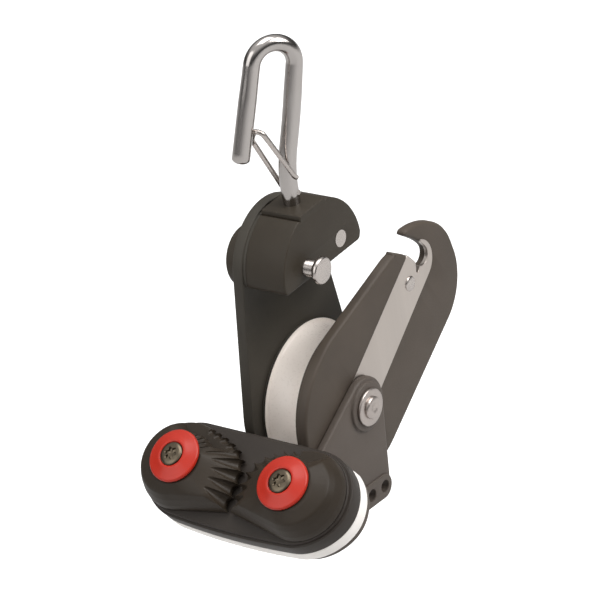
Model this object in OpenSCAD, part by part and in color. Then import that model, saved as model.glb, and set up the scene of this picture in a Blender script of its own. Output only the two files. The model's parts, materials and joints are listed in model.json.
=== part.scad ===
// Snatch block with a cam cleat and a gated swivel hook. Millimetres.
// Axle along X, cleat towards -Y, hook towards +Z, origin where a ring bears in the hook.

/* [Sheave and axle] */
// Outside diameter of the rope sheave
sheave_d = 44.4; // [43.6:0.1:44.6]
// Width of the sheave across its rims
sheave_w = 12.6; // [12.2:0.1:12.8]
// Depth of the rope groove below the rims
groove_depth = 2.6; // [2:0.1:3.4]
// Diameter of the axle
axle_d = 6; // [5.6:0.1:6.4]
// Outside diameter of the sheave bush
bush_d = 10; // [9.4:0.1:10.6]
// Radial clearance of each part that turns on the axle
run_clear = 0.06; // [0.04:0.01:0.09]
// Side gap between two parts that move past each other
side_gap = 0.3; // [0.25:0.01:0.32]
// Diameter of the washer under the axle end
washer_d = 11.2; // [10.6:0.1:11.8]
// Thickness of that washer
washer_t = 1.1; // [1:0.1:1.3]
// Height of the domed axle end above the washer
axle_dome = 1.1; // [0.8:0.1:1.4]

/* [Cheeks and head] */
// Round end radius of the fixed cheek
cheek_r = 24.2; // [24:0.1:24.3]
// Radius of the raised rings beside the sheave
ring_r = 22.3; // [22.2:0.1:22.5]
// Half width of the head end
head_r = 18.2; // [17.9:0.1:18.4]
// Height of the centre of the head arc above the axle
head_z = 46.2; // [46:0.1:46.4]
// Height of the head block underside above the axle
head_base_z = 45; // [44.8:0.1:45.2]
// Height of the flat platform under the hook
head_top_z = 64; // [63.9:0.1:64.2]
// Half width of the head block along the axle
head_half = 7.2; // [7.1:0.1:7.3]
// Half length of the flat platform from front to rear
platform_half = 5.7; // [5.2:0.1:6.2]
// Thickness of the fixed cheek
cheek_t = 3.4; // [3.2:0.1:3.6]
// Height of the fixed cheek's raised land behind the head
land = 1; // [0.8:0.1:1.2]
// Thickness of the swinging cheek
swing_t = 3.1; // [3:0.1:3.3]
// Round end radius of the swinging cheek
swing_r = 24.4; // [24:0.1:24.5]
// Angle the swinging cheek stands open
open_angle = 64; // [60:1:66]

/* [Latch] */
// Distance of the latch plunger from the axle
latch_r = 48.7; // [48.4:0.1:49]
// Angle of the plunger forward of the body axis
latch_angle = 8.1; // [7.9:0.1:8.3]
// Diameter of the plunger shaft
plunger_d = 4.8; // [4.6:0.1:4.9]
// Diameter of the neck beside the knob
neck_d = 3.6; // [3.4:0.1:3.9]
// Diameter of the knob
knob_d = 7.8; // [7.4:0.1:8.2]
// Thickness of the knob
knob_t = 1.7; // [1.5:0.1:1.9]
// Height of the round cover over the plunger spring
cover_h = 3.9; // [3.7:0.1:4.2]
// Diameter of that cover
cover_d = 17.6; // [17:0.1:18]
// Travel of the knob when it is pulled out
latch_travel = 3; // [2.5:0.1:3.2]
// Width of the latch slot
slot_w = 6; // [5.8:0.1:6.2]
// Thickness of the inlaid strap
strap_t = 1.2; // [1:0.1:1.4]
// Width of the strap at the axle
strap_w = 14.6; // [14:0.1:15]

/* [Hook] */
// Diameter of the hook rod
rod_d = 4.8; // [4.6:0.1:5]
// Angle of the hook plane away from the front, towards the fixed cheek
hook_turn = 30; // [20:1:45]
// Centre line radius of the bow
bow_r = 6.75; // [6.6:0.05:7]
// Lean of the two hook legs
hook_lean = 16.2; // [15.5:0.1:16.8]
// Length of the straight rear leg
rear_leg = 23.2; // [22.5:0.1:24]
// Length of the straight nose leg
nose_leg = 26; // [25.4:0.1:26.6]
// Diameter of the gate wire
wire_d = 1.5; // [1.4:0.1:1.6]

/* [Cleat] */
// Distance between the two cam screws
cam_pitch = 38; // [38:0.1:38.4]
// Tilt of the cleat plate from level
cleat_tilt = 35.5; // [35:0.5:36]
// Distance of the cam screws in front of the axle, along the plate
cleat_ahead = 36.2; // [36:0.1:36.6]
// Height of the screw heads above the axle, square to the plate
cleat_high = 34.2; // [34.1:0.1:34.5]
// Height of the cam tops below the screw heads
cap_drop = 3.1; // [3:0.1:3.3]
// Height of the cams
cam_h = 8.6; // [8.4:0.1:8.8]
// Radius of the round back of a cam
cam_r = 13.1; // [12.9:0.1:13.3]
// Offset of that round back from the cam's pivot
cam_off = 2; // [1.8:0.1:2.2]
// Distance between two teeth
tooth_pitch = 2.5; // [2.4:0.05:2.7]
// Height of the tooth tips above the cam's underside
tip_h = 2.3; // [2:0.1:2.6]
// Diameter of the red caps
cap_d = 15.8; // [15.4:0.1:16.2]
// Thickness of the cleat base
base_t = 6.2; // [6:0.1:6.3]
// Half length of the cleat base
base_half = 35; // [34.8:0.1:35.4]
// Half width of the cleat base
base_r = 14.6; // [14.3:0.1:14.7]
// Thickness of the white pad
pad_t = 4; // [3.8:0.1:4.1]
// How far the rear edge of the pad stands in from the base, clear of the closed cheek
rear_relief = 2.2; // [2.1:0.1:2.6]
// Travel of each cam as a rope pushes in
cam_travel = 32; // [25:1:34]

/* [Bracket] */
// Thickness of each bracket arm
arm_t = 2.3; // [2.1:0.1:2.5]
// Thickness of the bracket plate under the pad
plate_t = 1.5; // [1.3:0.1:1.6]
// Height of the round boss at the axle
boss_h = 0.9; // [0.7:0.1:1.1]
// Diameter of the two rope holes
becket_d = 3.8; // [3.4:0.1:4]
// Distance between the two rope holes
becket_pitch = 6.4; // [6.2:0.1:6.6]

/* [Hidden] */
$fn = 64;
e = 0.01;
in_f = -head_half;                       // inner face of the fixed cheek
out_f = in_f - cheek_t;                  // outer face of the fixed cheek
rim = sheave_w / 2 + side_gap;           // where the cheek rings start
in_s = head_half + side_gap;             // inner face of the swinging cheek
out_s = in_s + swing_t;                  // outer face of the swinging cheek
arm_in = out_s + side_gap;
arm_out = arm_in + arm_t;
boss_out = arm_out + boss_h;
wash_out = boss_out + washer_t;
left_in = -out_f + 0.02;                 // bracket arm on the fixed side
left_out = left_in + arm_t;
latch_y = -latch_r * sin(latch_angle);
latch_z = latch_r * cos(latch_angle);
rivet_y = 9.4;                           // rivet that joins head and fixed cheek
rivet_z = head_base_z + 3.9;
rivet_d = 5;
rivet_head_d = 8;
pocket_d = plunger_d + 2.6;              // room for the plunger spring
stud_r = latch_r - 9.3;                  // rivet that holds the strap
stud_d = 3;
lug = [1.2, -28.3];                      // lower corner of the bracket arms
lug_r = 3.9;
post_d = 7;                              // post each cam turns on
spring_room = 12.4;
screw_d = 4;
head_d = 6.9;                            // screw heads and nuts
head_h = 1.3;
nut_h = 3;
bulge = [-2, 2.5];                       // centre of both cheeks' round ends
knob_in = out_s + 0.4;
bend_z = head_top_z + 3;                 // where the shank starts to lean
bend_r = 49;
leg_s = -bend_r * (1 - cos(hook_lean));
leg_z = bend_z + bend_r * sin(hook_lean);
tan_s = leg_s - rear_leg * sin(hook_lean);
tan_z = leg_z + rear_leg * cos(hook_lean);
bow_s = tan_s + bow_r * cos(hook_lean);
bow_z = tan_z + bow_r * sin(hook_lean);
bear_x = -sin(hook_turn) * bow_s;
bear_y = -cos(hook_turn) * bow_s;
bear_z = bow_z + bow_r - rod_d / 2;
cam_bottom = cleat_high - cap_drop - cam_h;
base_top = cam_bottom - side_gap;
base_low = base_top - base_t;
pad_low = base_low - pad_t;
plate_low = pad_low - plate_t;
collar_z = head_top_z - 12;              // ledge of the shank above its collar
collar_d = 8;
pivot_low = head_top_z + 3.4;            // lower and upper holes of the gate
pivot_high = head_top_z + 9.6;
leg_off = rod_d / 2 + wire_d / 2 + 0.45;

module block() { translate([-bear_x, -bear_y, -bear_z]) children(); }
module cleat() { block() rotate([cleat_tilt, 0, 0]) translate([0, -cleat_ahead, 0]) children(); }
module swung() { block() rotate([-open_angle, 0, 0]) children(); }
// turns a drawing in (y, z) into a plate between two places on the axle line
module slab(x0, x1) {
  translate([x0, 0, 0]) rotate([90, 0, 90]) linear_extrude(x1 - x0) children();
}
module pin(x0, x1, d, y = 0, z = 0) {
  translate([x0, y, z]) rotate([0, 90, 0]) cylinder(d = d, h = x1 - x0);
}
// two circles and the straight sides between them, set in from touching both by the ease
module belt(p, r, q, s, ease = 0) {
  v = q - p;
  a = atan2(v[1], v[0]);
  b = acos((r - s) / norm(v));
  i = r - ease;
  j = s - ease;
  translate(p) circle(r = r, $fn = 128);
  translate(q) circle(r = s, $fn = 128);
  polygon([p + i * [cos(a + b), sin(a + b)], p + i * [cos(a - b), sin(a - b)],
    q + j * [cos(a - b), sin(a - b)], q + j * [cos(a + b), sin(a + b)]]);
}
// coil spring with ground ends, standing on its axis
module coil(r, d, h, turns) {
  half = 180 * d / (h / turns);
  steps = [-1, -0.5, 0, 0.5, 1];
  up = [for (t = steps) (r + d / 2 * sqrt(max(0.02, 1 - t * t))) * [cos(t * half), sin(t * half)]];
  down = [for (t = -steps) (r - d / 2 * sqrt(max(0.02, 1 - t * t))) * [cos(t * half), sin(t * half)]];
  linear_extrude(h, twist = -360 * turns, slices = 10 * turns, $fn = 4) polygon(concat(up, down));
}
module hook_plane() {
  block() rotate([0, 0, -hook_turn]) rotate([0, 0, -90]) children();
}
module rod(s0, z0, s1, z1, d) {
  len = sqrt(pow(s1 - s0, 2) + pow(z1 - z0, 2));
  translate([s0, 0, z0]) rotate([0, atan2(s1 - s0, z1 - z0), 0]) cylinder(d = d, h = len, $fn = 40);
}

// ---- hook and swivel ----
module hook() color([0.75, 0.75, 0.75]) hook_plane() difference() {
  union() {
    // shank, with the ledge the retaining collar sits on
    translate([0, 0, collar_z - 2.6]) cylinder(d = rod_d - 0.8, h = 2.61, $fn = 40);
    translate([0, 0, collar_z]) cylinder(d = rod_d, h = bend_z - collar_z + e, $fn = 40);
    // bend into the leaning leg
    translate([-bend_r, 0, bend_z]) rotate([90, 0, 0]) rotate_extrude(angle = hook_lean, $fn = 240)
      translate([bend_r, 0]) circle(d = rod_d, $fn = 40);
    rod(leg_s, leg_z, tan_s, tan_z, rod_d);
    for (p = [[leg_s, leg_z], [tan_s, tan_z],
      [bow_s + bow_r * cos(hook_lean), bow_z + bow_r * sin(hook_lean)]])
      translate([p[0], 0, p[1]]) sphere(d = rod_d + 0.03, $fn = 48);
    // bow
    translate([bow_s, 0, bow_z]) rotate([90, -hook_lean, 0]) rotate_extrude(angle = 180, $fn = 72)
      translate([bow_r, 0]) circle(d = rod_d, $fn = 40);
    // nose leg with a chamfered end
    translate([bow_s, 0, bow_z]) rotate([0, -hook_lean, 0]) translate([bow_r, 0, -nose_leg]) {
      cylinder(d = rod_d, h = nose_leg, $fn = 40);
      translate([0, 0, -1]) cylinder(d1 = rod_d - 2, d2 = rod_d, h = 1.01, $fn = 40);
    }
  }
  // lower hole, right through
  translate([-0.3, 0, pivot_low]) rotate([90, 0, 0])
    cylinder(d = wire_d + 2 * run_clear, h = 20, center = true, $fn = 32);
  // upper slot, near side only, curved about the lower hole
  translate([-0.3, 0, pivot_low]) rotate([90, 0, 0]) rotate([0, 0, 82])
    rotate_extrude(angle = 38, $fn = 96) translate([pivot_high - pivot_low - wire_d / 2 - 0.1, -5.6])
      square([wire_d + 0.2, 5]);
}
module hook_collar() color([0.6, 0.6, 0.6]) block() difference() {
  translate([0, 0, collar_z - 2.4]) cylinder(d = collar_d, h = 2.4, $fn = 48);
  translate([0, 0, collar_z - 3]) cylinder(d = rod_d - 0.8, h = 4, $fn = 40);
}
module thrust_washer() color([0.8, 0.8, 0.75]) block() difference() {
  translate([0, 0, collar_z + 0.05]) cylinder(d = collar_d, h = 0.9, $fn = 48);
  translate([0, 0, collar_z - 1]) cylinder(d = rod_d + 0.12, h = 4, $fn = 40);
}
// closed end of the gate, in the hook plane
gate_s = 6.7;
gate_z = 87.6;
module gate_wire() color([0.7, 0.7, 0.7]) hook_plane() {
  // stub through the lower hole
  translate([-0.3, -leg_off, pivot_low]) rotate([-90, 0, 0])
    cylinder(d = wire_d, h = leg_off + rod_d / 2 + 0.2, $fn = 24);
  // stub into the upper slot
  translate([-0.3, 0.9, pivot_high]) rotate([-90, 0, 0]) cylinder(d = wire_d, h = leg_off - 0.9, $fn = 24);
  wire([-0.3, -leg_off, pivot_low], [gate_s - 0.4, -2.8, gate_z - 1.6]);
  wire([-0.3, leg_off, pivot_high], [gate_s - 1.2, 2.9, gate_z - 0.8]);
  wire([gate_s - 1.2, 2.9, gate_z - 0.8], [gate_s, 1.6, gate_z]);
  wire([gate_s, 1.6, gate_z], [gate_s, -1.5, gate_z]);
  wire([gate_s, -1.5, gate_z], [gate_s - 0.4, -2.8, gate_z - 1.6]);
}
module wire(a, b) {
  v = b - a;
  translate(a) rotate([0, acos(v[2] / norm(v)), atan2(v[1], v[0])]) translate([0, 0, -0.45])
    cylinder(d = wire_d, h = norm(v) + 0.9, $fn = 24);
}

// ---- head and fixed cheek ----
module head_outline() {
  intersection() {
    union() {
      translate([0, head_z]) circle(r = head_r, $fn = 128);
      translate([-platform_half, head_z]) square([2 * platform_half, head_top_z - head_z]);
    }
    translate([-30, head_base_z]) square([60, head_top_z - head_base_z]);
  }
}
module head_block() color([0.24, 0.235, 0.22]) block() difference() {
  slab(in_f + land, head_half) head_outline();
  // swivel bore and its countersink
  translate([0, 0, 40]) cylinder(d = rod_d + 2 * run_clear, h = 40, $fn = 48);
  translate([0, 0, head_top_z - 1.3]) cylinder(d1 = rod_d + 0.1, d2 = rod_d + 3.4, h = 1.35, $fn = 48);
  // pocket for the collar, open below, with a ledge above the washer
  translate([0, 0, 40]) cylinder(d = collar_d + 0.2, h = collar_z + 1 - 40, $fn = 48);
  // plunger bore and spring pocket
  pin(-20, 20, plunger_d + 2 * run_clear, latch_y, latch_z);
  pin(-20, in_f + 3, pocket_d, latch_y, latch_z);
  // rivet bore
  pin(-20, 20, rivet_d, rivet_y, rivet_z);
}
module fixed_outline() {
  belt(bulge, cheek_r, [0, head_z], head_r);
}
module fixed_cheek() color([0.2, 0.19, 0.17]) block() difference() {
  union() {
    slab(out_f, in_f) intersection() {
      fixed_outline();
      translate([-40, -40]) square([80, 40 + head_top_z + 0.3]);
    }
    // ring beside the sheave rim
    slab(in_f - e, -rim) difference() {
      circle(r = ring_r, $fn = 128);
      circle(r = ring_r - 2.9, $fn = 96);
    }
    // hub beside the sheave
    pin(in_f - e, -rim, 15);
    // land behind the head
    slab(in_f - e, in_f + land) head_outline();
  }
  pin(-20, 20, axle_d);
  pin(-20, 20, pocket_d, latch_y, latch_z);
  pin(-20, 20, rivet_d, rivet_y, rivet_z);
}
module head_rivet() color([0.75, 0.74, 0.72]) block() {
  pin(out_f, head_half + 0.05, rivet_d, rivet_y, rivet_z);
  pin(out_f - 1.2, out_f, rivet_head_d, rivet_y, rivet_z);
}
module plunger_housing() color([0.24, 0.235, 0.22]) block() difference() {
  union() {
    pin(out_f - cover_h + 0.6, out_f, cover_d, latch_y, latch_z);
    translate([out_f - cover_h, latch_y, latch_z]) rotate([0, 90, 0])
      cylinder(d1 = cover_d - 1.4, d2 = cover_d, h = 0.61);
  }
  // room for the tail of the plunger
  pin(out_f - 2, out_f + e, pocket_d, latch_y, latch_z);
  pin(out_f - 1.22, out_f + 1, rivet_head_d + 0.04, rivet_y, rivet_z);
}
module latch_plunger() color([0.8, 0.8, 0.8]) block() {
  pin(out_f - 0.6, knob_in - 0.9, plunger_d, latch_y, latch_z);
  pin(knob_in - 0.91, knob_in + 0.01, neck_d, latch_y, latch_z);
  // flange the spring pushes on
  pin(out_f - 1.6, out_f - 0.4, pocket_d - 0.2, latch_y, latch_z);
  translate([knob_in, latch_y, latch_z]) rotate([0, 90, 0]) {
    cylinder(d = knob_d, h = knob_t - 0.4, $fn = 64);
    translate([0, 0, knob_t - 0.41]) cylinder(d1 = knob_d, d2 = knob_d - 0.8, h = 0.41, $fn = 64);
  }
}
module plunger_spring() color([0.6, 0.6, 0.6]) block()
  translate([out_f - 0.35, latch_y, latch_z]) rotate([0, 90, 0])
    coil(plunger_d / 2 + 0.6, 0.6, in_f + 3.3 - out_f, 5);

// ---- sheave and axle ----
module axle() color([0.78, 0.76, 0.74]) block() {
  pin(-left_out - washer_t, wash_out, axle_d);
  pin(-left_out - washer_t - 1.6, -left_out - washer_t, axle_d + 3);
  // domed end over the washer
  translate([wash_out, 0, 0]) rotate([0, 90, 0]) rotate_extrude($fn = 64) difference() {
    intersection() {
      translate([0, axle_dome - 8]) circle(r = 8, $fn = 128);
      square([(axle_d + 0.7) / 2, axle_dome]);
    }
    translate([-e, axle_dome - 0.4]) square([1.3, 1]);
  }
}
module axle_washers() color([0.78, 0.76, 0.74]) block() {
  difference() {
    pin(boss_out, wash_out, washer_d);
    pin(0, 20, axle_d);
  }
  difference() {
    pin(-left_out - washer_t, -left_out, washer_d);
    pin(-20, 0, axle_d);
  }
}
module sheave() color([0.86, 0.84, 0.8]) block() rotate([0, 90, 0]) rotate_extrude($fn = 120) difference() {
  translate([bush_d / 2, -sheave_w / 2]) square([sheave_d / 2 - bush_d / 2, sheave_w]);
  // shallow rope groove
  translate([sheave_d / 2 - groove_depth + 11, 0]) circle(r = 11, $fn = 120);
  // lightening steps in both sides
  translate([8.5, sheave_w / 2 - 0.5]) square([10, 1]);
  translate([8.5, -sheave_w / 2 - 0.5]) square([10, 1]);
}
module sheave_bush() color([0.72, 0.6, 0.4]) block() difference() {
  pin(-sheave_w / 2, sheave_w / 2, bush_d);
  pin(-20, 20, axle_d + 2 * run_clear);
}

// ---- swinging cheek ----
module slot_shape(grow) {
  rotate([0, 0, 90 + latch_angle]) {
    translate([latch_r, 0]) circle(d = slot_w + 0.4 + 2 * grow, $fn = 48);
  }
  // curved mouth about the axle, out to the front edge
  intersection() {
    difference() {
      circle(r = latch_r + slot_w / 2 + grow, $fn = 160);
      circle(r = latch_r - slot_w / 2 - grow, $fn = 160);
    }
    polygon([[0, 0], [-80 * sin(latch_angle), 80 * cos(latch_angle)], [-80, 80], [-80, 40]]);
  }
  // pocket below the seat
  hull() {
    rotate([0, 0, 90 + latch_angle]) translate([latch_r - 1.2, 0]) circle(d = slot_w - 2, $fn = 32);
    translate([-5.2, latch_z - 4]) circle(r = 0.7, $fn = 32);
  }
}
module swing_outline() {
  belt(bulge, swing_r, [0.8, 44.6], head_r - 0.6);
}
module strap_outline() {
  belt([0, 0], strap_w / 2, (latch_r - 2.3) * [-sin(latch_angle), cos(latch_angle)], 6.9, 0.02);
}
module swing_cheek() color([0.36, 0.33, 0.3]) swung() difference() {
  union() {
    slab(in_s, out_s) swing_outline();
    // ring beside the sheave rim
    slab(rim, in_s + e) difference() {
      translate(bulge) circle(r = swing_r - 0.3, $fn = 128);
      circle(r = 19.5, $fn = 96);
    }
    pin(rim, in_s + e, 15);
  }
  slab(in_s - 2, out_s + 1) slot_shape(0.15);
  slab(out_s - strap_t, out_s + 1) strap_outline();
  pin(-20, 20, axle_d + 2 * run_clear);
  rotate([latch_angle, 0, 0]) pin(in_s - 1, out_s, stud_d, 0, stud_r);
}
module latch_strap() color([0.69, 0.66, 0.62]) swung() difference() {
  slab(out_s - strap_t, out_s) strap_outline();
  slab(out_s - 4, out_s + 1) slot_shape(0);
  pin(-20, 20, axle_d + 2 * run_clear);
  rotate([latch_angle, 0, 0]) pin(in_s - 1, out_s + 1, stud_d, 0, stud_r);
}
module strap_rivet() color([0.7, 0.68, 0.65]) swung() rotate([latch_angle, 0, 0]) {
  pin(in_s + 0.1, out_s + e, stud_d, 0, stud_r);
  translate([out_s, 0, stud_r]) rotate([0, 90, 0])
    cylinder(d1 = stud_d + 1.6, d2 = stud_d - 0.4, h = 0.7, $fn = 48);
}

// ---- cleat bracket ----
module arm_outline() {
  hull() {
    translate([0.2, 0.2]) circle(r = 8.3, $fn = 96);
    translate(lug) circle(r = lug_r, $fn = 64);
    rotate([0, 0, cleat_tilt]) translate([-cleat_ahead - base_r + 6, plate_low])
      square([2 * base_r - 6 - rear_relief, plate_t]);
  }
}
module stadium(half, r) {
  belt([r - half, 0], r, [half - r, 0], r);
}
module pad_outline() {
  intersection() {
    stadium(base_half + 0.2, base_r + 0.2);
    translate([-base_half - 5, -base_r - 5]) square([2 * base_half + 10, 2 * base_r + 5 - rear_relief]);
  }
}
module becket_holes() {
  slab(-40, 40) for (i = [0, 1]) translate(lug + [0.2 - i * becket_pitch, i * 0.7])
    circle(d = becket_d, $fn = 48);
}
module cleat_bracket() color([0.37, 0.34, 0.31]) {
  block() difference() {
    union() {
      slab(arm_in, arm_out) arm_outline();
      slab(-left_out, -left_in) arm_outline();
      pin(arm_out - e, boss_out, 14.8);
      slab(arm_out - e, arm_out + 0.5) hull() {
        translate(lug) circle(r = lug_r, $fn = 64);
        translate(lug + [-15.2, 1.7]) circle(r = lug_r, $fn = 64);
      }
    }
    pin(-30, 30, axle_d);
    becket_holes();
    // the pad stands clear of both arms
    translate([bear_x, bear_y, bear_z]) cleat() translate([0, 0, pad_low + 5])
      cube([90, 60, 10], center = true);
  }
  // plate under the pad
  cleat() difference() {
    translate([0, 0, plate_low]) linear_extrude(plate_t) pad_outline();
    for (s = [-1, 1]) translate([s * cam_pitch / 2, 0, plate_low - 1])
      cylinder(d = screw_d, h = 10, $fn = 40);
  }
}

// ---- cam cleat ----
module cleat_pad() color([0.9, 0.86, 0.83]) cleat() difference() {
  translate([0, 0, pad_low]) linear_extrude(pad_t) pad_outline();
  for (s = [-1, 1]) translate([s * cam_pitch / 2, 0, pad_low - 1])
    cylinder(d = screw_d, h = 10, $fn = 40);
}
module cleat_base() color([0.2, 0.19, 0.18]) cleat() difference() {
  union() {
    translate([0, 0, base_low]) linear_extrude(base_t - 1.2) stadium(base_half, base_r);
    translate([0, 0, base_top - 1.21]) linear_extrude(1.21) stadium(base_half - 0.9, base_r - 0.9);
    // post each cam turns on
    for (s = [-1, 1]) translate([s * cam_pitch / 2, 0, base_top - e])
      cylinder(d = post_d, h = cam_h + side_gap, $fn = 48);
  }
  for (s = [-1, 1]) translate([s * cam_pitch / 2, 0, base_low - 1])
    cylinder(d = screw_d, h = 30, $fn = 40);
  // spring pocket round each post
  for (s = [-1, 1]) translate([s * cam_pitch / 2, 0, base_top - 1.6]) difference() {
    cylinder(d = spring_room, h = 4, $fn = 48);
    translate([0, 0, -1]) cylinder(d = post_d, h = 8, $fn = 48);
  }
}
// the line of the tooth tips about the cam's own pivot, teeth towards +X, from the front round to the rear
tooth_line = [[18.4, -9.7], [18.8, -8.8], [18.8, -0.5], [18.5, 2.4], [17.2, 5.6], [14.4, 8.4],
  [9.6, 10.6], [3.2, 12.3]];
tooth_fan = [-5, -2];                    // where the flutes would meet
// length of the line up to one of its corners
function way(i) = i == 0 ? 0 : way(i - 1) + norm(tooth_line[i] - tooth_line[i - 1]);
tooth_x = [for (i = [0:len(tooth_line) - 1]) [way(i), tooth_line[i][0]]];
tooth_y = [for (i = [0:len(tooth_line) - 1]) [way(i), tooth_line[i][1]]];
// outline set in by a distance on the round back and by another on the tooth line
module cam_plan(back, face) {
  hull() {
    translate([-cam_off, 0]) circle(r = cam_r - back, $fn = 64);
    offset(delta = -face) polygon(concat(tooth_line, [[0, 0]]));
  }
}
// one hollow flute: a cone that lies along the slope of the tooth face
module flute(s) {
  p = [lookup(s, tooth_x), lookup(s, tooth_y)];
  away = p - tooth_fan;
  slope = atan((cam_h - tip_h - 2) / 5.6);
  translate([p[0], p[1], tip_h]) rotate([0, 90 + slope, atan2(away[1], away[0])])
    translate([0, 0, -9]) cylinder(d1 = 0.78 * tooth_pitch, d2 = 1.16 * tooth_pitch, h = 12, $fn = 24);
  translate([p[0], p[1], -1]) cylinder(d = tooth_pitch * 0.94, h = tip_h + 2, $fn = 24);
}
module cam(side) {
  whole = way(len(tooth_line) - 1);
  teeth = round(whole / tooth_pitch);
  step = whole / teeth;
  translate([side * cam_pitch / 2, 0, cam_bottom]) mirror([side > 0 ? 1 : 0, 0, 0]) difference() {
    // back that draws in towards the cap, and a shallow crown that breaks into the steep tooth face
    hull() {
      linear_extrude(0.9) cam_plan(0, 0);
      linear_extrude(tip_h) cam_plan(0.8, 0);
      translate([0, 0, cam_h * 0.5]) linear_extrude(e) cam_plan(2, 3);
      translate([0, 0, cam_h - 2]) linear_extrude(e) cam_plan(3.5, 5.6);
      translate([0, 0, cam_h - e]) cylinder(d = cap_d + 0.8, h = e, $fn = 48);
    }
    for (k = [0.5:teeth]) flute(k * step);
    // bore, and spring room underneath
    translate([0, 0, -1]) cylinder(d = post_d + 2 * run_clear, h = 30, $fn = 48);
    translate([0, 0, -e]) difference() {
      cylinder(d = spring_room, h = 2.4, $fn = 48);
      translate([0, 0, -1]) cylinder(d = post_d + 2 * run_clear, h = 8, $fn = 48);
    }
  }
}
module cam_left() color([0.235, 0.225, 0.21]) cleat() cam(-1);
module cam_right() color([0.235, 0.225, 0.21]) cleat() cam(1);
module cam_springs() color([0.6, 0.6, 0.6]) cleat() for (s = [-1, 1])
  translate([s * cam_pitch / 2, 0, base_top - 1.5]) coil((post_d + spring_room) / 4, 0.7, 3.6, 3);
module cam_caps() color([0.8, 0.2, 0.15]) cleat() for (s = [-1, 1]) translate([s * cam_pitch / 2, 0, 0])
  difference() {
    translate([0, 0, cam_bottom + cam_h + side_gap]) rotate_extrude($fn = 72)
      polygon([[0, 0], [cap_d / 2, 0], [cap_d / 2, 0.7], [cap_d / 2 - 1, 1.4],
        [cap_d / 2 - 2.6, 2], [4, 2.3], [0, 2.3]]);
    translate([0, 0, cam_bottom]) cylinder(d = screw_d, h = 20, $fn = 40);
    translate([0, 0, cleat_high - head_h]) cylinder(d = head_d + 0.1, h = 5, $fn = 48);
  }
module cam_screws() color([0.62, 0.6, 0.5]) cleat() for (s = [-1, 1]) translate([s * cam_pitch / 2, 0, 0]) {
  translate([0, 0, plate_low - nut_h - 0.4])
    cylinder(d = screw_d, h = cleat_high - head_h - plate_low + nut_h + 0.4, $fn = 40);
  difference() {
    translate([0, 0, cleat_high - head_h]) cylinder(d = head_d, h = head_h, $fn = 48);
    translate([0, 0, cleat_high - 0.7]) for (a = [0, 60, 120]) rotate([0, 0, a])
      cube([3.6, 1, 2], center = true);
  }
}
module cleat_nuts() color([0.7, 0.7, 0.68]) cleat() for (s = [-1, 1])
  translate([s * cam_pitch / 2, 0, plate_low - nut_h]) difference() {
    cylinder(d = 2 * screw_d, h = nut_h, $fn = 6);
    translate([0, 0, -1]) cylinder(d = screw_d, h = nut_h + 2, $fn = 40);
  }

hook();
hook_collar();
thrust_washer();
gate_wire();
head_block();
fixed_cheek();
head_rivet();
plunger_housing();
latch_plunger();
plunger_spring();
axle();
axle_washers();
sheave();
sheave_bush();
swing_cheek();
latch_strap();
strap_rivet();
cleat_bracket();
cleat_pad();
cleat_base();
cam_left();
cam_right();
cam_springs();
cam_caps();
cam_screws();
cleat_nuts();
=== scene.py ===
"""A snatch block with a cam cleat, hanging by its gated swivel hook.

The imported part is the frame. The pieces that show are made again here with rounded edges, flutes and
finishes, each worked out as an array of points, and each rides on the body it belongs to.
Sizes are millimetres in the block's own drawing, with the axle's centre as zero, and MM turns them
into metres.
"""
import json

import bmesh
import bpy
import numpy as np
from mathutils import Matrix, Vector
from mathutils.geometry import tessellate_polygon


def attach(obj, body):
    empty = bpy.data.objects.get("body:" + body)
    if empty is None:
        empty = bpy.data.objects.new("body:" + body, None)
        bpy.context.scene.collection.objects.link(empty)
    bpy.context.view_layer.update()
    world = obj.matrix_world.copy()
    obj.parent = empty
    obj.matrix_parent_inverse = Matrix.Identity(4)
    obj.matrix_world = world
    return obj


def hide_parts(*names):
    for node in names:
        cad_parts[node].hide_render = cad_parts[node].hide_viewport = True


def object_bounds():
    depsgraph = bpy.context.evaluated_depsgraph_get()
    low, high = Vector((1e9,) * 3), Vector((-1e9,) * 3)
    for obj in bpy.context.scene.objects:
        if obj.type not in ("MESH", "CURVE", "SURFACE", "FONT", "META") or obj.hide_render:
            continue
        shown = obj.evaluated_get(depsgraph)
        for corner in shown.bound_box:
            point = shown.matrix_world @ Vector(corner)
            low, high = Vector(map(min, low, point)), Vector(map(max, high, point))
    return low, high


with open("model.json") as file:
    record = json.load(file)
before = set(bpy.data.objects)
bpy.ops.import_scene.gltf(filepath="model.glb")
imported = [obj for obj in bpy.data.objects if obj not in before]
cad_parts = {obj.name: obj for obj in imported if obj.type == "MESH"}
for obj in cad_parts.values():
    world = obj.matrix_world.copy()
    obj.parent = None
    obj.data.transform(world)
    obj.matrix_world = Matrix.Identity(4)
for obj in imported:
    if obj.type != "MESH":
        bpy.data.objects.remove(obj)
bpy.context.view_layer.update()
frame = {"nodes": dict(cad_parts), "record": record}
nodes = frame["nodes"]
joints = {j["name"]: j for j in frame["record"]["behaviour"]["joints"]}

MM = 0.001
AXLE = np.array(joints["sheave_spin"]["pos_m"])
OPEN_ANGLE = np.radians(joints["cheek_swing"]["range_deg"][1])
CLEAT_TILT = np.arctan2(-joints["left_cam_turn"]["axis"][1], joints["left_cam_turn"]["axis"][2])
HOOK_TURN = np.radians(30)

# head, and the fixed cheek behind it
HEAD_HALF = 7.2
RIVET, RIVET_BORE = np.array([9.4, 48.9]), 2.5
CHEEK_OUT = -10.6
LAND, LAND_R = 1.0, 17.7
FIXED_LOW, FIXED_LOW_R = (-1.6, 2.0), 24.9
FIXED_TOP, FIXED_TOP_R = (-0.6, 45.8), 18.1
FIXED_RING_OUT, FIXED_RING_IN = 22.3, 19.4
# how far out the rings of both cheeks start, beside the sheave
RING_FROM = 6.6
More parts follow.
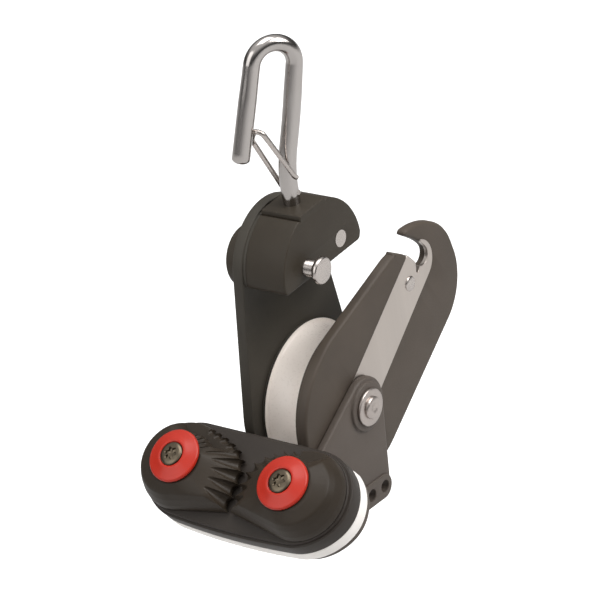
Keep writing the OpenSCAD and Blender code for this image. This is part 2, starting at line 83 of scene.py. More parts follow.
# swinging cheek and the circles that its outline goes round; its strap and the latch lie at a distance
# from the axle and an angle from straight up
SWING_IN, SWING_OUT = 7.5, 10.6
SWING_ROUNDS = [((-2.0, 2.5), 23.7), ((-1.2, -0.4), 24.2), ((-0.2, 1.2), 24.0), ((-0.9, 44.0), 17.0),
                ((2.2, 42.4), 17.9)]
SWING_RING_AT, SWING_RING_OUT, SWING_RING_IN = (-1.2, -0.4), 24.0, 19.5
STRAP_T, STRAP_LOW_R, STRAP_TOP_R = 1.2, 7.3, 6.9
STRAP_REACH, STRAP_RIVET_AT = 46.4, 39.4
LATCH_R, LATCH_ANGLE, LATCH_BORE = 48.7, np.radians(8.1), 2.46
SLOT_HALF = 3.0
# sheave and axle
SHEAVE_R, SHEAVE_HALF = 22.4, 6.3
AXLE_R, AXLE_BORE = 3.0, 3.06
WASHER_T = 1.1
# bracket, from the right arm's inner face out to its washer
ARM_IN, ARM_OUT, BOSS_OUT, WASHER_OUT = 10.9, 13.2, 14.1, 15.2
LEFT_ARM_IN, LEFT_ARM_OUT = -10.62, -12.92
ARM_ROUND, ARM_ROUND_R = (0.2, 0.2), 8.3
ARM_FRONT = -8.6
LUG, LUG_R = np.array([1.2, -28.3]), 3.9
FOOT_FRONT, FOOT_R = LUG + [-15.2, 1.7], 3.8
ROPE_HOLES, ROPE_HOLE_R = (LUG + [0.2, 0], LUG + [-6.2, 0.7]), 1.9
# cleat: heights square to its plate, then half lengths with end radii
CAM_PITCH = 38.0
CAM_H, TIP_H = 8.6, 2.3
SCREW_TOP = 34.2
CAM_TOP = SCREW_TOP - 3.1
CAM_LOW = CAM_TOP - CAM_H
BASE_TOP = CAM_LOW - 0.3
BASE_LOW = BASE_TOP - 6.2
PAD_LOW = BASE_LOW - 4.0
PLATE_LOW = PAD_LOW - 1.5
SCREW_END = PLATE_LOW - 3.4
CLEAT_AHEAD = 36.2
PAD_SIZE, PLATE_SIZE = (35.2, 14.8), (35.2, 13.9)
BASE_SIZE, STEP_SIZE = (35.1, 14.6), (34.3, 13.9)
PAD_REAR = 12.4
FRONT_BOW = 0.06
# hook: rod and shank diameters, leans, the wide bend, the legs and the gate's wire
ROD = 5.1
SHANK = 4.8
SHANK_LOW = 49.4
LEAN, TOP_LEAN, NOSE_LEAN = np.radians([16.2, 13.7, 17.6])
BEND_Z, BEND_R = 67.0, 49.0
REAR_LEG, BOW_R, NOSE_LEG = 24.4, 6.35, 28.0
WIRE_R = 0.75


# ---- places -------------------------------------------------------------------------------------
def on_block(p):
    """Block drawing (x, y, z) in mm to metres in the frame."""
    return AXLE + np.asarray(p, float) * MM


def about_axle(radius, angle):
    """(y, z) at a distance from the axle and an angle from straight up towards the front, in radians."""
    return np.asarray(radius)[..., None] * np.stack([-np.sin(angle), np.cos(angle)], -1)


LATCH = about_axle(LATCH_R, LATCH_ANGLE)


def on_swing(p):
    """Swinging cheek drawn closed, (x, y, z), turned about the axle to where it rests open."""
    x, y, z = np.moveaxis(np.asarray(p, float), -1, 0)
    c, s = np.cos(OPEN_ANGLE), np.sin(OPEN_ANGLE)
    return on_block(np.stack([x, y * c + z * s, z * c - y * s], -1))


def tilted(y, z):
    """The cleat drawing's (y, z) in the block drawing: set ahead, then tilted about the axle's line."""
    y = y - CLEAT_AHEAD
    c, s = np.cos(CLEAT_TILT), np.sin(CLEAT_TILT)
    return y * c - z * s, y * s + z * c


def on_cleat(p):
    """Cleat drawing (x, y, z), with z square to its plate and y up along it, to metres in the frame."""
    x, y, z = np.moveaxis(np.asarray(p, float), -1, 0)
    return on_block(np.stack([x, *tilted(y, z)], -1))


def on_hook(p):
    """Hook drawing: x towards the nose, y to the near side, z up, turned about the swivel axis."""
    x, y, z = np.moveaxis(np.asarray(p, float), -1, 0)
    c, s = np.cos(HOOK_TURN), np.sin(HOOK_TURN)
    return on_block(np.stack([-s * x + c * y, -c * x - s * y, z], -1))


# ---- mesh makers --------------------------------------------------------------------------------
def piece(name, points, faces, finish, body, stands_for=(), sharp=35):
    """One closed mesh piece: doubles merged, faces outward, edges over the sharp angle kept crisp."""
    mesh = bpy.data.meshes.new(name)
    mesh.from_pydata(np.asarray(points).tolist(), [], faces)
    bm = bmesh.new()
    bm.from_mesh(mesh)
    bmesh.ops.remove_doubles(bm, verts=bm.verts, dist=2e-7)
    bmesh.ops.recalc_face_normals(bm, faces=bm.faces)
    bm.to_mesh(mesh)
    bm.free()
    mesh.polygons.foreach_set("use_smooth", np.ones(len(mesh.polygons), bool))
    mesh.set_sharp_from_angle(angle=np.radians(sharp))
    mesh.materials.append(finish)
    obj = bpy.data.objects.new(name, mesh)
    bpy.context.scene.collection.objects.link(obj)
    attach(obj, body)
    if stands_for:
        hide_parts(*stands_for)
    return obj


def quads(rows, cols, wrap_rows=False, wrap_cols=True, first=0):
    """Four-cornered faces of a grid of points, as index lists."""
    i = np.arange(rows if wrap_rows else rows - 1)[:, None]
    j = np.arange(cols if wrap_cols else cols - 1)[None, :]
    a = i * cols + j
    b = i * cols + (j + 1) % cols
    c = (i + 1) % rows * cols + (j + 1) % cols
    d = (i + 1) % rows * cols + j
    return (np.stack([a, b, c, d], -1).reshape(-1, 4) + first).tolist()


def lathe(profile, steps=96):
    """A (radius, height) profile turned about the z axis; a zero radius closes it at the pole."""
    profile = np.asarray(profile, float)
    turn = np.linspace(0, 2 * np.pi, steps, endpoint=False)
    r, h = profile[:, 0, None], profile[:, 1, None]
    points = np.stack([r * np.cos(turn), r * np.sin(turn), h + 0 * turn], -1).reshape(-1, 3)
    closed = bool(profile[0, 0] > 0 and profile[-1, 0] > 0)
    return points, quads(len(profile), steps, wrap_rows=closed)


def axle_wise(p, x, y=0.0, z=0.0):
    """Turns a lathe's z axis to the axle's direction and sets it at (x, y, z)."""
    return np.stack([p[:, 2] + x, p[:, 0] + y, p[:, 1] + z], -1)


def arc(centre, r, start, end, steps):
    """Points on a circle from one angle to another, in degrees."""
    a = np.radians(np.linspace(start, end, steps))
    return np.asarray(centre) + r * np.stack([np.cos(a), np.sin(a)], -1)


def circle(centre, r, steps=120):
    """A whole circle, anticlockwise, without its first point twice."""
    return arc(centre, r, 0, 360 - 360 / steps, steps)


def belt(p, r, q, s, steps=72):
    """Outline round two circles and the straight sides that touch both, anticlockwise."""
    v = np.subtract(q, p)
    a = np.degrees(np.arctan2(v[1], v[0]))
    b = np.degrees(np.arccos((r - s) / np.hypot(*v)))
    return np.concatenate([arc(p, r, a + b, a - b + 360, steps), arc(q, s, a - b, a + b, steps)])


def rounded(corners, radii, steps=8):
    """Polygon whose corners become circular arcs that touch both sides."""
    corners = np.asarray(corners, float)
    radii = np.broadcast_to(radii, len(corners))
    out = []
    for before, here, after, r in zip(np.roll(corners, 1, 0), corners, np.roll(corners, -1, 0), radii):
        u, v = before - here, after - here
        u, v = u / np.hypot(*u), v / np.hypot(*v)
        half = np.arccos(np.clip(u @ v, -1, 1)) / 2
        middle = (u + v) / np.hypot(*(u + v))
        centre = here + middle * r / np.sin(half)
        first, last = here + u * r / np.tan(half) - centre, here + v * r / np.tan(half) - centre
        t = np.linspace(0, 1, steps)[:, None]
        ray = first * (1 - t) + last * t
        out.append(centre + r * ray / np.linalg.norm(ray, axis=1, keepdims=True))
    return np.concatenate(out)


def ring(centre, r, steps=48):
    """A round hole's outline, clockwise so that its inside counts as outside."""
    return arc(centre, r, 360, 360 / steps, steps)


def convex(dots):
    """Anticlockwise outline of the points that no others enclose, by walking the lower and upper chains."""
    dots = dots[np.lexsort((dots[:, 1], dots[:, 0]))]

    def chain(seq):
        out = []
        for p in seq:
            while len(out) > 1 and np.linalg.det([out[-1] - out[-2], p - out[-2]]) <= 1e-9:
                out.pop()
            out.append(p)
        return out[:-1]
    return np.array(chain(dots) + chain(dots[::-1]))


def dense(loop, step=0.5):
    """The same outline with points added so that none lie further apart than the step."""
    ahead = np.roll(loop, -1, 0)
    count = np.maximum(1, np.ceil(np.linalg.norm(ahead - loop, axis=1) / step)).astype(int)
    k = np.repeat(np.arange(len(loop)), count)
    share = (np.arange(len(k)) - np.repeat(np.cumsum(count) - count, count)) / count[k]
    return loop[k] + share[:, None] * (ahead - loop)[k]


def inward(loop):
    """Unit directions square to an anticlockwise outline, towards its inside."""
    t = np.roll(loop, -1, 0) - np.roll(loop, 1, 0)
    t = t / np.linalg.norm(t, axis=1, keepdims=True)
    return np.stack([-t[:, 1], t[:, 0]], -1)


def plate(loops, low, high, round_low=0.4, round_high=0.4, hole_round=0.15, steps=5):
    """A flat plate with rounded edges. Each outline is carried along a quarter-round, a straight wall and
    a second quarter-round, its inset going as r(1 - cos a) and its height as r sin a. Flats close it."""
    points, faces, rims = [], [], [[], []]
    first = 0
    a = np.linspace(0, np.pi / 2, steps)
    for k, loop in enumerate(loops):
        r0, r1 = round_low, round_high
        if k > 0:
            r0, r1 = min(hole_round, r0), min(hole_round, r1)
        inset = np.concatenate([r0 * (1 - np.cos(a[::-1])), r1 * (1 - np.cos(a))])
        height = np.concatenate([low + r0 - r0 * np.sin(a[::-1]), high - r1 + r1 * np.sin(a)])
        flat = loop[None] + inset[:, None, None] * inward(loop)[None]
        rows = np.concatenate([flat, np.broadcast_to(height[:, None, None], flat.shape[:2] + (1,))], -1)
        points.append(rows.reshape(-1, 3))
        faces += quads(len(rows), len(loop), first=first)
        for rim, row in zip(rims, (0, len(rows) - 1)):
            rim.append((first + row * len(loop) + np.arange(len(loop)), rows[row]))
        first += rows.shape[0] * rows.shape[1]
    for rim in rims:
        index = np.concatenate([i for i, _ in rim])
        corners = tessellate_polygon([[Vector(p) for p in loop] for _, loop in rim])
        faces += [[int(index[i]) for i in tri] for tri in corners]
    return np.concatenate(points), faces


def across(p):
    """A plate drawn in (y, z) with its thickness along the axle: (u, v, h) becomes (h, u, v)."""
    return np.roll(p, 1, -1)


def swept(path, radius, sides, up=(0, 1, 0)):
    """A round bar along a path: circles of the given radius, square to the path, closed at both ends."""
    path = np.asarray(path, float)
    radius = np.broadcast_to(radius, len(path))[:, None, None]
    ahead = np.gradient(path, axis=0)
    ahead /= np.linalg.norm(ahead, axis=1, keepdims=True)
    side = np.cross(ahead, up)
    side /= np.linalg.norm(side, axis=1, keepdims=True)
    top = np.cross(side, ahead)
    a = np.linspace(0, 2 * np.pi, sides, endpoint=False)[None, :, None]
    rows = path[:, None] + radius * (np.cos(a) * side[:, None] + np.sin(a) * top[:, None])
    rows = np.concatenate([path[:1, None] + 0 * rows[:1], rows, path[-1:, None] + 0 * rows[:1]])
    return rows.reshape(-1, 3), quads(len(rows), sides)


def smooth_path(points, cut, steps=9):
    """Straight runs joined by curves: each inner corner is replaced by a quadratic curve that starts and
    ends the cut length away from it, or 0.45 of the run where that is less."""
    points = np.asarray(points, float)
    t = np.linspace(0, 1, steps)[:, None]
    out = [points[:1]]
    for before, here, after in zip(points[:-2], points[1:-1], points[2:]):
        start = here + (before - here) * min(0.45, cut / np.linalg.norm(before - here))
        end = here + (after - here) * min(0.45, cut / np.linalg.norm(after - here))
        out.append((1 - t) ** 2 * start + 2 * t * (1 - t) * here + t ** 2 * end)
    return np.concatenate(out + [points[-1:]])


# ---- finishes -----------------------------------------------------------------------------------
MOTTLE_SCALE = 60.0


def finish(name, colour, rough, metal=0.0, grain=900.0, grain_depth=0.0, mottle=0.12, rough_spread=0.08,
           stretch=(1, 1, 1), turn=(0, 0, 0), coat=0.0, level=0.5):
    """A finish whose colour drifts with a broad noise, with roughness that varies and a fine grain bump."""
    mat = bpy.data.materials.new(name)
    mat.use_nodes = True
    n, link = mat.node_tree.nodes, mat.node_tree.links
    shader = n["Principled BSDF"]
    shader.inputs["Metallic"].default_value = metal
    shader.inputs["Specular IOR Level"].default_value = level
    shader.inputs["Coat Weight"].default_value = coat
    shader.inputs["Coat Roughness"].default_value = 0.12
    where = n.new("ShaderNodeTexCoord")
    mapping = n.new("ShaderNodeMapping")
    mapping.inputs["Rotation"].default_value = turn
    mapping.inputs["Scale"].default_value = stretch
    link.new(where.outputs["Object"], mapping.inputs["Vector"])
    broad = n.new("ShaderNodeTexNoise")
    broad.inputs["Scale"].default_value = MOTTLE_SCALE
    broad.inputs["Detail"].default_value = 4
    link.new(mapping.outputs[0], broad.inputs["Vector"])
    ramp = n.new("ShaderNodeValToRGB")
    ramp.color_ramp.elements[0].position = 0.3
    ramp.color_ramp.elements[1].position = 0.7
    ramp.color_ramp.elements[0].color = (*[c * (1 - mottle) for c in colour], 1)
    ramp.color_ramp.elements[1].color = (*[min(1, c * (1 + mottle)) for c in colour], 1)
    link.new(broad.outputs["Fac"], ramp.inputs["Fac"])
    link.new(ramp.outputs["Color"], shader.inputs["Base Color"])
    fine = n.new("ShaderNodeTexNoise")
    fine.inputs["Scale"].default_value = grain
    fine.inputs["Detail"].default_value = 3
    link.new(mapping.outputs[0], fine.inputs["Vector"])
    spread = n.new("ShaderNodeMapRange")
    spread.inputs["To Min"].default_value = max(0.02, rough - rough_spread)
    spread.inputs["To Max"].default_value = rough + rough_spread
    link.new(fine.outputs["Fac"], spread.inputs["Value"])
    link.new(spread.outputs["Result"], shader.inputs["Roughness"])
    if grain_depth:
        bump = n.new("ShaderNodeBump")
        bump.inputs["Strength"].default_value = 1.0
        bump.inputs["Distance"].default_value = grain_depth * MM
        link.new(fine.outputs["Fac"], bump.inputs["Height"])
        link.new(bump.outputs["Normal"], shader.inputs["Normal"])
    return mat


DARK_HEAD = finish("moulded_head", (0.038, 0.030, 0.021), 0.5, grain=2600, grain_depth=0.012, mottle=0.1,
                   level=0.25)
DARK_CHEEK = finish("moulded_cheek", (0.070, 0.055, 0.043), 0.52, grain=2600, grain_depth=0.012, mottle=0.1,
                    level=0.25)
DARK_INNER = finish("moulded_fixed_cheek", (0.046, 0.040, 0.031), 0.55, grain=2600, grain_depth=0.012,
                    level=0.3)
BRACKET = finish("cast_bracket", (0.092, 0.075, 0.063), 0.5, grain=2200, grain_depth=0.014, mottle=0.08,
                 level=0.25)
CAM_BLACK = finish("cam_black", (0.030, 0.022, 0.015), 0.44, grain=2400, grain_depth=0.012, mottle=0.1,
                   level=0.22)
BASE_BLACK = finish("base_black", (0.033, 0.026, 0.021), 0.5, grain=2400, grain_depth=0.01, level=0.25)
SHEAVE_WHITE = finish("sheave_acetal", (0.88, 0.80, 0.73), 0.29, grain=1500, grain_depth=0.003, mottle=0.03)
PAD_WHITE = finish("pad_white", (0.90, 0.86, 0.82), 0.6, grain=1500, grain_depth=0.004, mottle=0.03)
RED = finish("cap_red", (0.42, 0.020, 0.008), 0.34, grain=1200, grain_depth=0.003, mottle=0.05, coat=0.1,
             level=0.3)
POLISHED = finish("polished_rod", (0.46, 0.43, 0.41), 0.17, metal=1.0, grain=500, grain_depth=0.004,
                  rough_spread=0.05, mottle=0.06, stretch=(1, 1, 0.25))
BRIGHT = finish("bright_pin", (0.52, 0.475, 0.445), 0.26, metal=1.0, grain_depth=0.003, mottle=0.05)
WASHER = finish("washer_steel", (0.47, 0.42, 0.39), 0.34, metal=1.0, grain=1400, grain_depth=0.004,
                mottle=0.05)
STRAP_LIES = float(OPEN_ANGLE - LATCH_ANGLE)
STRAP = finish("brushed_strap", (0.51, 0.46, 0.42), 0.36, metal=1.0, grain=2200, grain_depth=0.006,
               rough_spread=0.1, mottle=0.08, turn=(STRAP_LIES, 0, 0), stretch=(1, 1, 0.03))
SCREW = finish("screw_steel", (0.13, 0.105, 0.075), 0.3, metal=1.0, grain_depth=0.004)
BRONZE = finish("bush_bronze", (0.42, 0.28, 0.12), 0.4, metal=1.0, grain_depth=0.004)


# ---- hook ---------------------------------------------------------------------------------------
def hook_points():
    """Where the hook's bends start and end, in its own plane (s, z)."""
    leg = np.array([-BEND_R * (1 - np.cos(LEAN)), BEND_Z + BEND_R * np.sin(LEAN)])
    up_rear = np.array([-np.sin(LEAN), np.cos(LEAN)])
    up_top = np.array([-np.sin(TOP_LEAN), np.cos(TOP_LEAN)])
    elbow = leg + REAR_LEG * 0.4 * up_rear
    shoulder = elbow + REAR_LEG * 0.6 * up_top
    bow = shoulder + BOW_R * np.array([np.cos(TOP_LEAN), np.sin(TOP_LEAN)])
    return leg, elbow, shoulder, bow


def make_hook():
    """Rod along a straight shank, a wide bend, the rear leg, the bow and the nose leg, which leans out.
    Its end is rounded, and the rod is thinner round the bow and where its shank goes into the head."""
    leg, elbow, shoulder, bow = hook_points()
    shank = np.stack([np.zeros(14), np.linspace(SHANK_LOW, BEND_Z, 14)], -1)
    bend = arc((-BEND_R, BEND_Z), BEND_R, 0, np.degrees(LEAN), 14)[1:]
    rear = smooth_path([leg, elbow, shoulder], 8.0, 15)[1:]
    top = arc(bow, BOW_R, 180 + np.degrees(TOP_LEAN), np.degrees(NOSE_LEAN), 60)[1:]
    down = np.array([np.sin(NOSE_LEAN), -np.cos(NOSE_LEAN)])
    nose = top[-1] + np.linspace(0, NOSE_LEG - 1, 14)[1:, None] * down
    tip = top[-1] + (NOSE_LEG - np.array([0.7, 0.35, 0.1, 0.0]))[:, None] * down
    line = np.concatenate([shank, bend, rear, top, nose, tip])
    path = np.stack([line[:, 0], 0 * line[:, 0], line[:, 1]], -1)
    radius = np.interp(line[:, 1], [bow[1] - 8, bow[1] - 1], [ROD / 2, SHANK / 2])
    radius[-4:] = ROD / 2 - np.array([0.12, 0.42, 0.8, 1.1])
    radius[:len(shank)] = np.interp(shank[:, 1], [64, 66.5], [SHANK / 2, ROD / 2])
    points, faces = swept(path, radius, 48)
    piece("hook_rod", on_hook(points), faces, POLISHED, "hook", ("hook",))


def make_gate():
    """Wire bent from the lower hole, up one leg, across the nose's inner side and down the other leg into
    the upper hole."""
    off = SHANK / 2 + WIRE_R + 0.45
    low, high = 66.4, 73.0
    route = [(-1.7, 2.1, low + 1.1), (0.1, -off, low), (7.0, -2.75, 84.6), (7.5, -1.2, 86.4),
             (7.3, 1.4, 89.4), (5.7, 2.85, 88.7), (-1.1, off, high), (-1.9, 2.3, high - 0.7),
             (-0.9, 0.9, high - 0.7)]
    path = smooth_path(route, 1.1)
    points, faces = swept(path, WIRE_R, 20, up=(0.93, 0.05, -0.35))
    piece("gate_loop", on_hook(points), faces, BRIGHT, "gate", ("gate_wire",))


# ---- head and fixed cheek -----------------------------------------------------------------------
def head_outline():
    """Arc of the head, cut flat below, stepped up to the flat platform under the hook."""
    r, yc, zc = 18.5, 0.35, 45.9
    low, low_rear = 44.8, 44.3
    top, front, rear = 64.0, -6.3, 5.7
    right = arc((yc, zc), r, -6.0, np.degrees(np.arccos((rear + 0.9 - yc) / r)), 40)
    left = arc((yc, zc), r, np.degrees(np.arccos((front - 1.0 - yc) / r)), 184.3, 40)
    shelf = rounded([(rear + 0.3, right[-1][1] - 0.35), (rear, top), (front, top),
                     (front - 0.3, left[0][1] - 0.35)], [0.25, 0.4, 0.4, 0.25], 5)
    rear_corner = arc((yc + r - 2.1, low_rear + 1.8), 1.8, -90, -12, 8)
    front_corner = arc((yc - r + 1.3, low + 1.0), 1.0, 190, 270, 6)
    return np.concatenate([rear_corner, right[4:], shelf, left[:-3], front_corner])


def make_head():
    """Half-round block with a raised flat platform and a flush rivet end."""
    bores = [ring(RIVET, RIVET_BORE), ring(LATCH, LATCH_BORE)]
    points, faces = plate([head_outline(), *bores], LAND - HEAD_HALF, HEAD_HALF, 0.2, 0.45)
    piece("head", on_block(across(points)), faces, DARK_HEAD, "block", ("head_block",))
    profile = [(0, 0), (2.48, 0), (2.48, 14.3), (2.3, 14.42), (0, 14.42)]
    p, f = lathe(profile, 64)
    piece("rivet_end", on_block(axle_wise(p, -HEAD_HALF, *RIVET)), f, BRIGHT, "block")


def make_fixed_cheek():
    """Tapered plate round the axle and the head, a land behind the head, a ring beside the sheave and the
    round cover over the latch's spring. The land stays inside a circle about the plate's upper centre."""
    outline = belt(FIXED_LOW, FIXED_LOW_R, FIXED_TOP, FIXED_TOP_R)
    points, faces = plate([outline, ring((0, 0), AXLE_R)], CHEEK_OUT, -HEAD_HALF, 0.35, 0.4)
    piece("fixed_plate", on_block(across(points)), faces, DARK_INNER, "block", ("fixed_cheek",))
    land = head_outline()
    rise = np.sqrt(np.maximum(0, LAND_R ** 2 - (land[:, 0] - FIXED_TOP[0]) ** 2))
    land[:, 1] = np.minimum(land[:, 1], FIXED_TOP[1] + rise)
    points, faces = plate([land], -HEAD_HALF - 0.3, LAND - HEAD_HALF, 0.05, 0.3)
    piece("fixed_land", on_block(across(points)), faces, DARK_INNER, "block")
    loops = [circle((0, 0), FIXED_RING_OUT), ring((0, 0), FIXED_RING_IN, 96)]
    points, faces = plate(loops, -HEAD_HALF - 0.01, -RING_FROM, 0.02, 0.25)
    piece("fixed_ring", on_block(across(points)), faces, DARK_INNER, "block")
    profile = [(0, -4.3), (8.4, -4.3), (8.75, -4.22), (8.95, -4.0), (9.0, -3.6), (9.0, 0.0), (0, 0.0)]
    p, f = lathe(profile, 96)
    piece("latch_cover", on_block(axle_wise(p, CHEEK_OUT, LATCH[0], LATCH[1] + 0.3)), f, DARK_HEAD, "block",
          ("plunger_housing",))


def make_latch():
    """Plunger turned in one piece: a flange at its inner end, shaft, thin neck and flat round knob."""
    profile = [(0, -12.2), (3.6, -12.2), (3.6, -11.0), (2.4, -11.0), (2.4, 9.95), (2.25, 10.1), (1.8, 10.15),
               (1.8, 11.0), (3.4, 11.0), (3.75, 11.12), (3.9, 11.4), (3.9, 12.3), (3.75, 12.55), (3.4, 12.7),
               (0, 12.7)]
    p, f = lathe(profile, 72)
    piece("latch_knob", on_block(axle_wise(p, 0, *LATCH)), f, BRIGHT, "latch", ("latch_plunger",), sharp=50)


# ---- sheave and axle ----------------------------------------------------------------------------
def make_sheave():
    """Rope sheave turned about the axle. Between two rims with rounded edges lies a shallow groove, an arc
    of the hollow's radius, so that its own radius is rim - deep + hollow - the root of hollow^2 - x^2."""
    rim_r, half, deep, hollow = SHEAVE_R, SHEAVE_HALF, 2.8, 11.0
    x = np.linspace(-half + 0.5, half - 0.5, 41)
    groove = rim_r - deep + hollow - np.sqrt(hollow ** 2 - x ** 2)
    groove = np.minimum(groove, rim_r - 0.05)
    a = np.linspace(np.pi / 2, 0, 6)
    right = np.stack([rim_r - 0.3 + 0.3 * np.sin(a), half - 0.3 + 0.3 * np.cos(a)], -1)
    outer = np.concatenate([(right * [1, -1])[::-1], np.stack([groove, x], -1), right])
    side = [(19.0, half), (18.5, half - 0.5), (8.5, half - 0.5), (8.2, half), (5.0, half)]
    profile = np.concatenate([outer, side, (np.array(side) * [1, -1])[::-1]])
    p, f = lathe(profile, 144)
    piece("rope_sheave", on_block(axle_wise(p, 0)), f, SHEAVE_WHITE, "sheave", ("sheave",), sharp=50)


def make_axle():
    """Axle with a wide head on the left and, on the right, a rounded end that has a shallow dimple, and a
    washer with rounded edges on each side."""
    wall = np.linspace(0, 0.5, 10)
    profile = np.concatenate([
        [(0, -15.6), (4.2, -15.6), (4.5, -15.3), (4.5, -14.1), (AXLE_R, -14.02), (AXLE_R, WASHER_OUT)],
        np.stack([3.35 + 0 * wall, WASHER_OUT + wall], -1),
        [(3.1, 16.0), (2.7, 16.2), (2.2, 16.28), (1.5, 16.3), (1.2, 16.1), (0.8, 15.95), (0, 15.92)]])
    p, f = lathe(profile, 72)
    piece("axle_pin", on_block(axle_wise(p, 0)), f, WASHER, "block", ("axle",), sharp=50)
    profile = [(3.02, 0), (5.3, 0), (5.55, 0.2), (5.6, 0.4), (5.6, 0.75), (5.5, 0.98), (5.2, WASHER_T),
               (3.02, WASHER_T)]
    p, f = lathe(profile, 72)
    for k, x in enumerate((BOSS_OUT, LEFT_ARM_OUT - WASHER_T)):
        piece(f"washer_{k}", on_block(axle_wise(p, x)), f, WASHER, "block",
              ("axle_washers",) if k == 0 else (), sharp=50)


# ---- swinging cheek -----------------------------------------------------------------------------
def cut_slot(outline, half, tip_round):
    """Cuts the curved latch slot into an outline: two arcs about the axle that end in a round seat with a
    pocket below it. Corners at the mouth are eased by a quadratic curve."""
    outline = dense(outline)
    r = np.hypot(*outline.T)
    angle = np.arctan2(-outline[:, 0], outline[:, 1])
    inside = (np.abs(r - LATCH_R) < half + tip_round) & (angle > LATCH_ANGLE)
    start = int(np.argmax(inside & ~np.roll(inside, 1)))
    outline = np.roll(outline, -start, 0)
    inside = np.roll(inside, -start)
    keep = outline[int(inside.sum()):]
    mouth_up = np.arctan2(-keep[-1][0], keep[-1][1])
    mouth_low = np.arctan2(-keep[0][0], keep[0][1])
    upper = about_axle(LATCH_R + half, np.linspace(mouth_up - tip_round / 60, LATCH_ANGLE, 24))
    lower = about_axle(LATCH_R - half, np.linspace(LATCH_ANGLE + 0.035, mouth_low - tip_round / 60, 24))
    seat = arc(LATCH, half, 98, -62, 14)[1:]
    pocket = arc((-5.3, LATCH[1] - 4.2), 0.7, -20, -150, 6)
    slot = np.concatenate([upper, seat, pocket, lower[1:]])
    t = np.linspace(0, 1, 7)[:, None]

    def ease(a, corner, b):
        return (1 - t) ** 2 * a + 2 * t * (1 - t) * corner + t ** 2 * b

    top = ease(keep[-1], about_axle(LATCH_R + half, mouth_up), slot[0])[1:-1]
    bottom = ease(slot[-1], about_axle(LATCH_R - half, mouth_low), keep[0])[1:-1]
    return np.concatenate([keep, top, slot, bottom])


def hooked(outline):
    """Draws the slot's mouth out into a hooked tip: past a start angle its upper side moves along the slot
    and towards it, its lower side away from it, each by a share 3u^2 - 2u^3 that fades with the radius."""
    r = np.hypot(*outline.T)
    angle = np.degrees(np.arctan2(-outline[:, 0], outline[:, 1]))
    above = r > LATCH_R
    u = np.clip(np.where(above, (angle - 9) / 9, (angle - 17) / 7), 0, 1)
    u = u * u * (3 - 2 * u) * np.clip(np.where(above, 1 - (r - 52) / 8, (r - 42) / 3), 0, 1)
    u = np.where(angle < 60, u, 0)
    angle = np.radians(angle + np.where(above, 3.8, 0) * u)
    r = r - np.where(above, 1.4, 0.8) * u
    return about_axle(r, angle)


def make_swing_cheek():
    """Tapered plate with a hook-shaped top; a ring on its inner side runs beside the sheave."""
    round_ends = [arc(c, r, 0, 359, 240) for c, r in SWING_ROUNDS]
    outline = hooked(cut_slot(convex(np.concatenate(round_ends)), SLOT_HALF + 0.15, 1.0))
    points, faces = plate([outline, ring((0, 0), AXLE_BORE)], SWING_IN, SWING_OUT, 0.25, 0.9, 0.02)
    piece("swing_plate", on_swing(across(points)), faces, DARK_CHEEK, "swinging_cheek", ("swing_cheek",))
    loops = [circle(SWING_RING_AT, SWING_RING_OUT), ring((0, 0), SWING_RING_IN, 96)]
    points, faces = plate(loops, RING_FROM, SWING_IN + 0.05, 0.3, 0.02)
    piece("swing_ring", on_swing(across(points)), faces, DARK_CHEEK, "swinging_cheek")


def make_strap():
    """Inlaid sheet strap with its own slot, and the domed rivet that holds it."""
    top = about_axle(STRAP_REACH, LATCH_ANGLE)
    outline = cut_slot(belt((0, 0), STRAP_LOW_R, top, STRAP_TOP_R, 60), SLOT_HALF, 0.5)
    loops = [outline, ring((0, 0), AXLE_BORE)]
    points, faces = plate(loops, SWING_OUT - STRAP_T, SWING_OUT + 0.02, 0.05, 0.12, 0.02)
    piece("strap_sheet", on_swing(across(points)), faces, STRAP, "swinging_cheek", ("latch_strap",))
    a = np.linspace(0, np.pi / 2, 9)
    profile = np.concatenate([[(0, -2.9), (1.5, -2.9), (1.5, 0.0), (2.3, 0.0)],
                              np.stack([2.3 * np.cos(a), 0.08 + 0.62 * np.sin(a)], -1)[:-1], [(0, 0.7)]])
    p, f = lathe(profile, 48)
    y, z = about_axle(STRAP_RIVET_AT, LATCH_ANGLE)
    piece("strap_rivet_head", on_swing(axle_wise(p, SWING_OUT, y, z)), f, BRIGHT, "swinging_cheek",
          ("strap_rivet",), sharp=50)


# ---- bracket ------------------------------------------------------------------------------------
def stadium(half, r):
    """Two half circles joined by sides; the front side is bowed, its depth going as 1 + b(1 - (x/c)^2)."""
    loop = dense(belt((r - half, 0), r, (half - r, 0), r, 60), 1.0)
    bow = 1 + FRONT_BOW * (1 - (loop[:, 0] / (half - r)) ** 2)
    return np.stack([loop[:, 0], np.where(loop[:, 1] < 0, loop[:, 1] * bow, loop[:, 1])], -1)


def pad_outline(half, r):
    """Stadium whose rear side is cut straight, clear of the closed cheek."""
    loop = dense(stadium(half, r))
    return np.stack([loop[:, 0], np.minimum(loop[:, 1], PAD_REAR)], -1)


